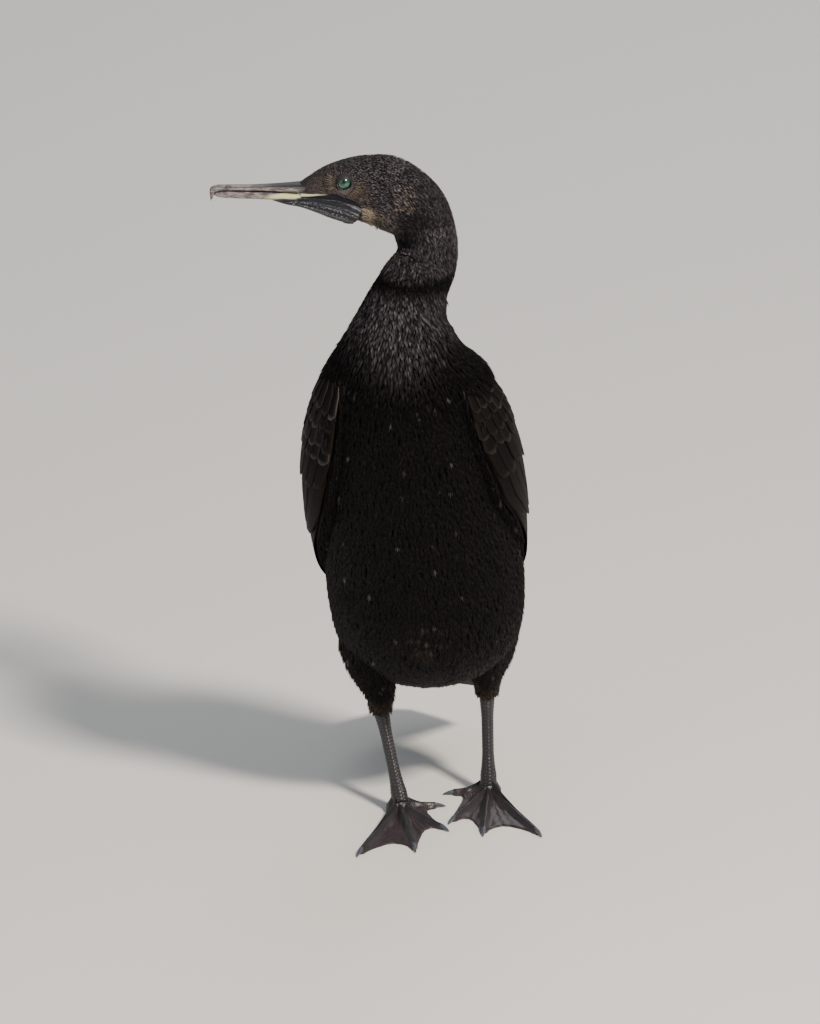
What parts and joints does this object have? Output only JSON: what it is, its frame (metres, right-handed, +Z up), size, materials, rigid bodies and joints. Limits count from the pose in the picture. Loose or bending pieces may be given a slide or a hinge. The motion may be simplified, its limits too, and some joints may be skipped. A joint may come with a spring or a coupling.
{
  "type": "standing cormorant",
  "caption": "Black seabird standing upright on webbed feet, slender hooked bill turned to its right, wings folded and wedge tail held low behind.",
  "frame": {"origin": "middle of the bird's footprint, on the floor it stands on", "axes": "+Z up; the chest faces -Y and the bill points to -X"},
  "size_m": [0.2562, 0.3062, 0.5395],
  "materials": {
    "plumage": "soft black body feathers with a brownish grey bloom on the head and neck",
    "flight_feather": "smooth blackish flight feathers with brown edges",
    "bill_horn": "smooth grey horn, darker along the ridge, cream at the base of the lower half",
    "pouch_skin": "bare slate black skin with fine lengthwise folds",
    "eye": "polished dark green",
    "foot_skin": "scaly blackish skin, brownish webs and horn claws"
  },
  "bodies": {
    "root": {"head": "plumage", "upper_bill": "bill_horn", "lower_bill": "bill_horn", "throat_pouch": "pouch_skin", "eye_left": "eye", "eye_right": "eye", "neck_upper": "plumage", "neck_lower": "plumage", "torso": "plumage", "tail": "flight_feather", "wing_left": "flight_feather", "wing_right": "flight_feather", "thigh_left": "plumage", "thigh_right": "plumage", "shank_left": "foot_skin", "shank_right": "foot_skin", "foot_left": "foot_skin", "foot_right": "foot_skin"}
  },
  "joints": []
}
